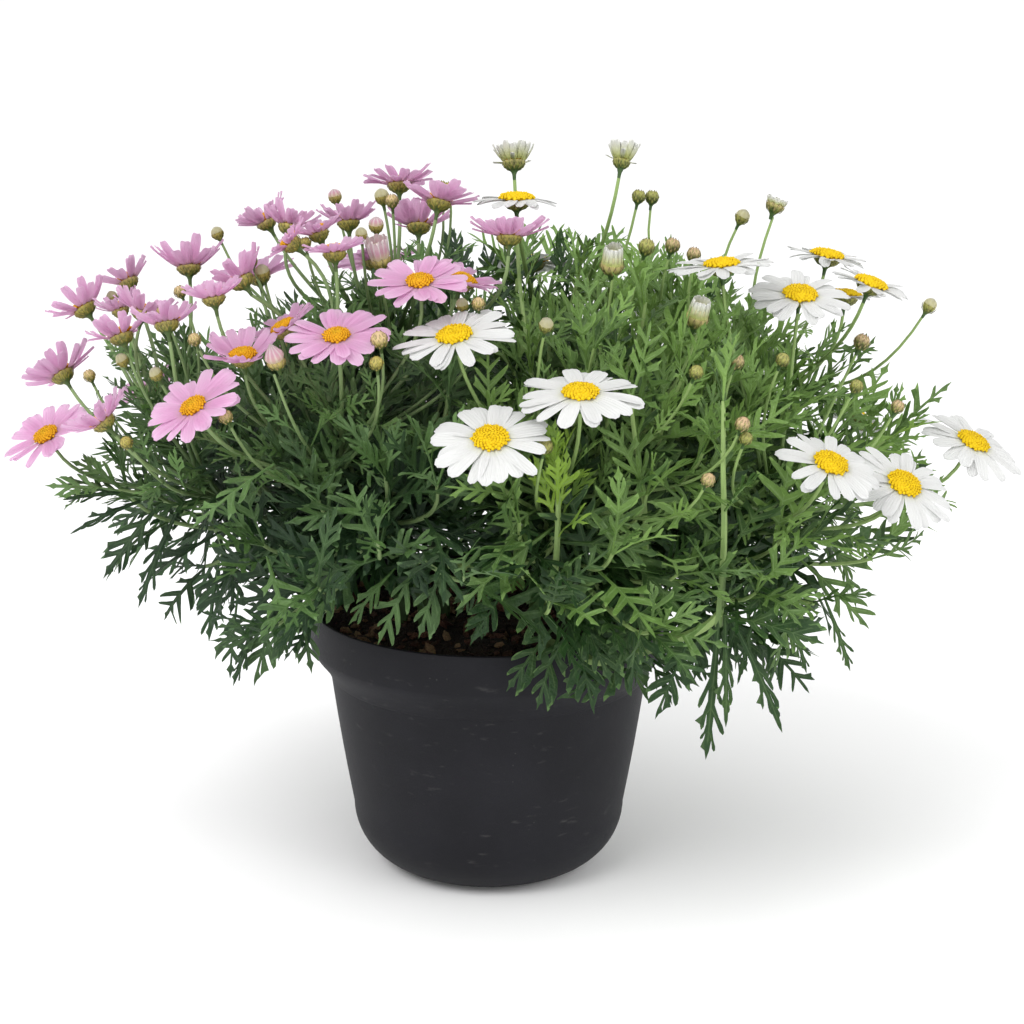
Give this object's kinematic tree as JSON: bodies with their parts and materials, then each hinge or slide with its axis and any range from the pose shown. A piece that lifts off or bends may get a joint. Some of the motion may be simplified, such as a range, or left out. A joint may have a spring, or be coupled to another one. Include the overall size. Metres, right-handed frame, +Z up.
{
  "type": "potted marguerite daisy",
  "caption": "Pink and white marguerite daisies with cut leaves, growing as one round bush in a tapered grower's pot filled with soil.",
  "frame": {"origin": "centre of the pot's underside, where it stands on the surface", "axes": "+Z up through the pot's axis, -Y towards the viewer of the picture, +X to the viewer's right"},
  "size_m": [0.5208, 0.4185, 0.387],
  "materials": {
    "pot_plastic": "dark grey moulded polypropylene, matte with faint scuffs",
    "potting_soil": "moist brown peat and bark crumbs",
    "foliage_dark": "matte blue-green leaf",
    "foliage_fresh": "matte fresh green leaf",
    "rays_pink": "soft satin petal, lilac pink",
    "rays_white": "soft satin petal, white"
  },
  "bodies": {
    "root": {"pot": "pot_plastic", "soil": "potting_soil", "leafy_stem_pink_left": "foliage_dark", "leafy_stem_pink_front": "foliage_dark", "leafy_stem_pink_middle": "foliage_dark", "leafy_stem_pink_back": "foliage_dark", "leafy_stem_white_front": "foliage_fresh", "leafy_stem_white_right": "foliage_fresh", "leafy_stem_white_far_right": "foliage_fresh", "leafy_stem_white_back": "foliage_fresh", "bloom_pink_01": "rays_pink", "bloom_pink_02": "rays_pink", "bloom_pink_03": "rays_pink", "bloom_pink_04": "rays_pink", "bloom_pink_05": "rays_pink", "bloom_pink_06": "rays_pink", "bloom_pink_07": "rays_pink", "bloom_pink_08": "rays_pink", "bloom_pink_09": "rays_pink", "bloom_pink_10": "rays_pink", "bloom_pink_11": "rays_pink", "bloom_pink_12": "rays_pink", "bloom_pink_13": "rays_pink", "bloom_pink_14": "rays_pink", "bloom_pink_15": "rays_pink", "bloom_pink_16": "rays_pink", "bloom_pink_17": "rays_pink", "bloom_pink_18": "rays_pink", "bloom_pink_19": "rays_pink", "bloom_pink_20": "rays_pink", "bloom_pink_21": "rays_pink", "bloom_pink_22": "rays_pink", "bloom_pink_23": "rays_pink", "bloom_pink_24": "rays_pink", "bloom_pink_25": "rays_pink", "bloom_pink_26": "rays_pink", "bloom_pink_27": "rays_pink", "bloom_pink_28": "rays_pink", "bloom_pink_29": "rays_pink", "bloom_pink_30": "rays_pink", "bloom_pink_31": "rays_pink", "bloom_pink_32": "rays_pink", "bloom_white_01": "rays_white", "bloom_white_02": "rays_white", "bloom_white_03": "rays_white", "bloom_white_04": "rays_white", "bloom_white_05": "rays_white", "bloom_white_06": "rays_white", "bloom_white_07": "rays_white", "bloom_white_08": "rays_white", "bloom_white_09": "rays_white", "bloom_white_10": "rays_white", "bloom_white_11": "rays_white", "bloom_white_12": "rays_white", "bloom_white_13": "rays_white", "bloom_white_14": "rays_white", "bloom_white_15": "rays_white", "bloom_white_16": "rays_white", "bloom_white_17": "rays_white", "bloom_white_18": "rays_white"}
  },
  "joints": []
}
